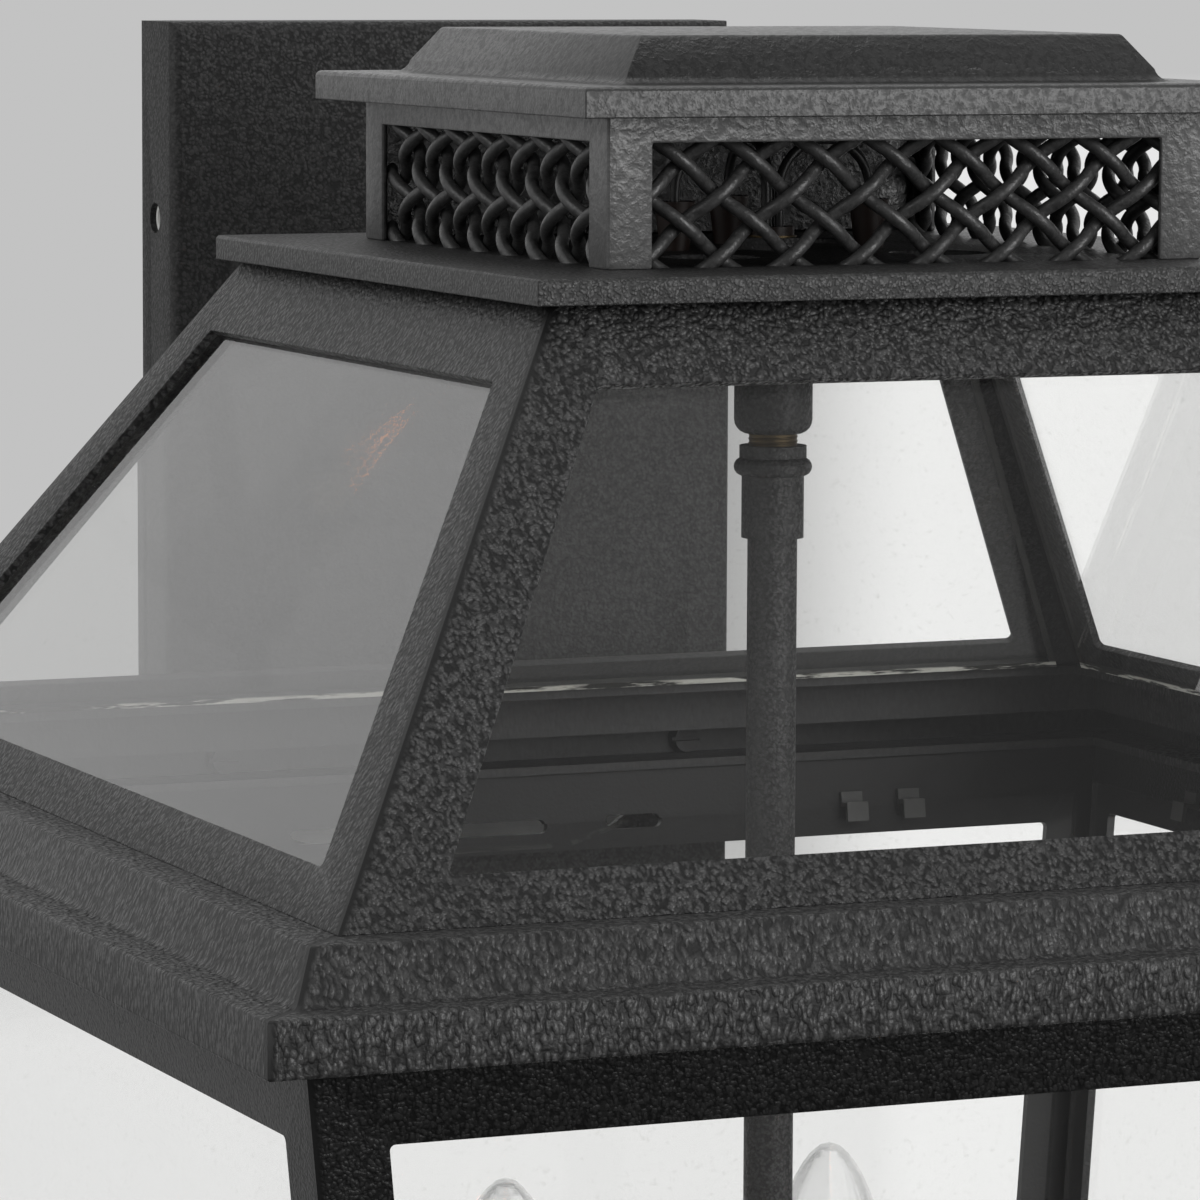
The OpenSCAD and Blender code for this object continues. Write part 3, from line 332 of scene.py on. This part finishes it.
COAT = hammered("powder_coat", calm=0.45, seam=True)
WIRE = hammered("mesh_wire", 0.036, 0.34, 0.8, depth=0.35, net=0.5, gloss=0.5, left=0.6, soft=True)
FINISHES = {
    "powder_coat": COAT,
    "mesh_wire": WIRE,
    "pane_glass": clear_glass("pane_glass", (0.985, 0.986, 0.98, 1)),
    "lamp_glass": clear_glass("lamp_glass", (1.0, 1.0, 1.0, 1), 0.7, 1.25, 0.35),
    "lamp_metal": plain("lamp_metal", (0.62, 0.5, 0.3), 0.3, 1.0),
    "brass": plain("brass", (0.12, 0.09, 0.05), 0.42, 1.0, 500.0, 0.3, 0.35),
    "plated_steel": plain("plated_steel", (0.5, 0.5, 0.52), 0.35, 1.0),
    "socket_plastic": plain("socket_plastic", (0.02, 0.02, 0.02), 0.5),
    "sealant": sealant("sealant"),
    # Red-brown wire connectors coloured near black: their hue is their own, their darkness is painted
    # shade of the closed cage
    "connector_plastic": plain("connector_plastic", (0.02, 0.011, 0.008), 0.45),
    "wire_insulation": plain("wire_insulation", (0.02, 0.02, 0.02), 0.4),
}
# The coat is thick and swollen round the cage and streaked on the crown
CAST = hammered("coat_cast", 0.032, 0.34, 0.8, swell=1.2, depth=0.8, net=0.7, gloss=0.5, left=0.75,
                soft=True, inner=CAGE_HALF - 0.5 * MM, upper=SLAB_TOP)
# coat_cage has a paler base than the other coats: partly wear on the cage, partly painted highlight
# where the posts catch the lamps
CAGE = hammered("coat_cage", 0.075, 0.3, 0.8, swell=1.2, depth=0.8, net=0.7, gloss=0.55, left=0.25,
                soft=True, inner=CAGE_HALF)
PAN = hammered("coat_pan", 0.034, 0.36, 0.8, depth=0.6, net=0.4, left=0.25, inner=CAGE_HALF - 0.7 * MM)
# coat_body has a dark base: painted shade of the crown over the body frame; left=2.0 and calm=1.6
# raise the colour again on the left faces and the far inner side
BODY = hammered("coat_body", 0.014, lump=0.9, depth=0.6, calm=1.6, seam=True, gloss=0.25, left=2.0)
STREAKED = hammered("coat_streaked", lump=1.15, net=0.15, lean=(1.0, 1.0, 0.55), calm=0.45,
                    seam=True, gloss=0.4)
SMOOTH = hammered("coat_smooth", 0.026, 0.48, 0.9, depth=0.4, net=0.35, gloss=0.3, left=0.6)
STEM = hammered("coat_stem", 0.055, 0.45, 0.8, depth=0.5, net=0.35, gloss=0.4, left=0.6)
# Pale matte bracket: the zinc plating's own paleness, and also painted light for the bright light seen
# through the slots
ZINC_AND_SLOT_LIGHT = plain("zinc_and_slot_light", (0.8, 0.8, 0.78), 0.45, 0.0, 400.0, 0.2, 0.08)
DARK_CLIP = plain("dark_clip", (0.035, 0.035, 0.033), 0.45, 0.0, 500.0, 0.3, 0.4)
BY_NODE = {
    "cap": CAST, "cage_frame": CAGE, "collar_plate": PAN,
    "crown": STREAKED, "body_frame": BODY,
    "wall_plate": SMOOTH, "mounting_bracket": ZINC_AND_SLOT_LIGHT, "body_glass_clips": DARK_CLIP,
    "stem_pipe": STEM, "upper_coupling": STEM, "lower_coupling": STEM, "stem_nut": STEM,
}
SLOTS = {row["node"]: row["material_slot"] for row in frame["record"]["subparts"]}


def dress_nodes():
    for name, obj in NODES.items():
        mat = BY_NODE.get(name, FINISHES[SLOTS[name]])
        if not obj.material_slots:
            obj.data.materials.append(mat)
        for s in obj.material_slots:
            s.material = mat


def put(name, mesh, mat):
    """Add a mesh as a piece that rides on the lantern's body."""
    piece = bpy.data.objects.new(name, mesh)
    scene.collection.objects.link(piece)
    mesh.materials.clear()
    mesh.materials.append(mat)
    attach(piece, "root")
    return piece


def soften(node, width):
    """Stand-in for a folded or cast node, with the small round that the coat gives each edge."""
    mesh = NODES[node].data.copy()
    bm = bmesh.new()
    bm.from_mesh(mesh)
    bmesh.ops.remove_doubles(bm, verts=bm.verts, dist=2e-6)
    bmesh.ops.dissolve_limit(bm, angle_limit=math.radians(0.5), verts=bm.verts, edges=bm.edges)
    fold = math.radians(28)
    sharp = [e for e in bm.edges if len(e.link_faces) == 2 and e.calc_face_angle(0) > fold]
    bmesh.ops.bevel(bm, geom=sharp, offset=width * MM, segments=2, profile=0.5, affect="EDGES",
                    clamp_overlap=True)
    for f in bm.faces:
        f.smooth = True
    bm.to_mesh(mesh)
    bm.free()
    mesh.set_sharp_from_angle(angle=math.radians(24))
    piece = put(node + "_coated", mesh, BY_NODE.get(node, COAT))
    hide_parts(node)


def tube(bm, points, radius, sides=10):
    """Tube along a polyline, closed at both ends."""
    rings = []
    side = None
    for k, p in enumerate(points):
        a = points[max(k - 1, 0)]
        b = points[min(k + 1, len(points) - 1)]
        along = (b - a).normalized()
        if side is None:
            side = along.orthogonal().normalized()
        side = (side - along * side.dot(along)).normalized()
        up = along.cross(side)
        ring = []
        for n in range(sides):
            w = 2 * math.pi * n / sides
            ring.append(bm.verts.new(p + radius * (math.cos(w) * side + math.sin(w) * up)))
        rings.append(ring)
    for lower, upper in zip(rings, rings[1:]):
        for n in range(sides):
            m = (n + 1) % sides
            bm.faces.new((lower[n], lower[m], upper[m], upper[n]))
    bm.faces.new(reversed(rings[0]))
    bm.faces.new(rings[-1])


def mesh_of(name, build):
    bm = bmesh.new()
    build(bm)
    for f in bm.faces:
        f.smooth = True
    mesh = bpy.data.meshes.new(name)
    bm.to_mesh(mesh)
    bm.free()
    return mesh


def filaments():
    """Fine coiled wire that loops up and down in each lamp."""
    glow = filament_glow("filament_glow")
    steps, coils = 120, 14
    for n in (1, 2, 3, 4):
        lo, hi = [Vector(v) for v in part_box("lamp_glass_%d" % n)]
        axis = (lo + hi) / 2
        height = hi.z - lo.z
        foot = lo.z + 0.30 * height
        head = lo.z + 0.74 * height
        turn = math.radians(90 * n)

        def build(bm):
            points = []
            for k in range(steps + 1):
                u = k / steps
                w = 2 * math.pi * coils * u
                swing = 2.6 * MM * math.sin(math.pi * u)
                z = foot + (head - foot) * (1 - abs(2 * u - 1))
                x = (2.4 * (2 * u - 1)) * MM + 0.45 * MM * math.cos(w)
                y = swing * 0.3 + 0.45 * MM * math.sin(w)
                points.append(Vector((
                    axis.x + x * math.cos(turn) - y * math.sin(turn),
                    axis.y + x * math.sin(turn) + y * math.cos(turn),
                    z,
                )))
            tube(bm, points, 0.14 * MM, 6)

        put("filament_%d" % n, mesh_of("filament", build), glow)


def threads():
    """Thread on the bare neck of the nipple between the two couplings, and above its nut."""
    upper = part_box("upper_coupling")[0][2]
    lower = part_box("lower_coupling")[1][2]
    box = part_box("stem_nipple")
    core = (box[1][0] - box[0][0]) / 2 - 0.12 * MM
    top = box[1][2]
    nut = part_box("stem_nut")[1][2]
    pitch = 0.95 * MM

    def build(bm):
        for low, high in ((lower, upper), (nut, top - 0.2 * MM)):
            turns = (high - low) / pitch
            steps = max(int(turns * 28), 8)
            points = []
            for k in range(steps + 1):
                w = 2 * math.pi * turns * k / steps
                z = low + (high - low) * k / steps
                points.append(Vector((core * math.cos(w), AXIS_Y + core * math.sin(w), z)))
            tube(bm, points, 0.3 * MM, 8)

    put("nipple_thread", mesh_of("thread", build), FINISHES["brass"])


def surroundings():
    """Pale backdrop: what is seen, mirrored and let through has its own level for each direction."""
    world = bpy.data.worlds.new("studio")
    scene.world = world
    t = Tree(world)
    direction = t.node("ShaderNodeTexCoord").outputs["Generated"]
    x, y, z = t.split(direction)
    aside = t.math("DIVIDE", x, y)
    path = t.node("ShaderNodeLightPath").outputs
    # Behind the lantern: grey, paler towards the floor
    fall = t.remap(z, -0.165, -0.182, 0.545, 0.76)
    # Behind the cage, the backdrop right of the wall plate is paler
    right = t.math("MULTIPLY", t.remap(aside, 0.455, 0.475), t.remap(y, 0.2, 0.7))
    low = t.remap(z, -0.022, -0.032)
    pale = t.math("MULTIPLY_ADD", t.math("MULTIPLY", right, low), 0.26, fall)
    seen = t.grey(t.math("MINIMUM", pale, 0.83))
    # Through the panes: shaded close to the wall plate, white away from it
    open_side = t.remap(aside, 0.448, 0.495, 0.42, 1.0, smooth=True)
    through = t.math("MAXIMUM", open_side, t.remap(z, -0.135, -0.18, 0.40, 0.92))
    # Light that first bounced inside the lantern meets a darker studio
    bounces = t.math("ADD", path["Diffuse Depth"], path["Glossy Depth"])
    other = t.mix_value(t.math("MINIMUM", bounces, 1.0), fall, 0.22)
    through = t.grey(t.mix_value(t.remap(y, 0.2, 0.7, smooth=True), other, through))
    # Mirrored by metal and glass: bright behind the lantern, dim in front of it
    behind = t.remap(z, -0.2, 0.1, 0.45, 0.97)
    ahead = t.math("ADD", t.remap(z, -0.3, -0.05, 0.02, 0.14), t.remap(z, 0.0, 0.8, 0.0, 0.06))
    mirror = t.grey(t.mix_value(t.remap(y, -0.35, 0.35, smooth=True), ahead, behind))
    around = t.grey(t.remap(z, -0.25, 0.25, 0.24, 0.5, smooth=True))
    color = t.mix(path["Is Glossy Ray"], around, mirror)
    color = t.mix(path["Is Transmission Ray"], color, through)
    color = t.mix(path["Is Camera Ray"], color, seen)
    back = t.node("ShaderNodeBackground", {"Color": color, "Strength": 1.0})
    t.out(back.outputs[0], "ShaderNodeOutputWorld")


def add_floor():
    """Pale round floor below the lantern, fading out towards its rim."""
    mesh = bpy.data.meshes.new("floor")
    bm = bmesh.new()
    bmesh.ops.create_circle(bm, cap_ends=True, segments=128, radius=2.4)
    bm.to_mesh(mesh)
    bm.free()
    floor = bpy.data.objects.new("floor", mesh)
    floor.location = (0, AXIS_Y, cad_box[0][2] - 0.25)
    scene.collection.objects.link(floor)
    m = bpy.data.materials.new("floor")
    t = Tree(m)
    where = t.place()
    far = t.node("ShaderNodeVectorMath", {0: where}, operation="LENGTH").outputs["Value"]
    shader = t.node("ShaderNodeBsdfDiffuse", {"Color": (0.65, 0.65, 0.65, 1)})
    clear = t.node("ShaderNodeBsdfTransparent")
    path = t.node("ShaderNodeLightPath").outputs
    away = t.math("MAXIMUM", t.remap(far, 1.2, 2.35, smooth=True), path["Is Glossy Ray"])
    away = t.math("MAXIMUM", away, path["Is Transmission Ray"])
    mixed = t.node("ShaderNodeMixShader", {0: away, 1: shader.outputs[0], 2: clear.outputs[0]})
    t.out(mixed.outputs[0])
    mesh.materials.append(m)


def softbox(name, place, size, power):
    """Area lamp turned to the middle of the lantern."""
    data = bpy.data.lights.new(name, "AREA")
    data.shape = "RECTANGLE"
    data.size, data.size_y = size
    data.energy = power
    lamp = bpy.data.objects.new(name, data)
    lamp.location = place
    aim = Vector((0, AXIS_Y, 0)) - Vector(place)
    lamp.rotation_euler = aim.to_track_quat("-Z", "Y").to_euler()
    lamp.visible_camera = False
    lamp.visible_transmission = False
    scene.collection.objects.link(lamp)


add_camera()
dress_nodes()
for node in ("cap", "cage_frame", "collar_plate", "crown", "wall_plate", "base_band"):
    soften(node, CAST_EDGE)
for node in ("roof_frame", "body_frame"):
    soften(node, SHEET_EDGE)
filaments()
threads()
surroundings()
add_floor()
softbox("key_left", (-2.6, -0.9, 1.1), (1.8, 1.8), 24)
softbox("fill_right", (1.29, -2.4, 0.6), (1.5, 2.0), 50)
softbox("top", (0.2, -0.2, 2.6), (1.0, 1.0), 8)
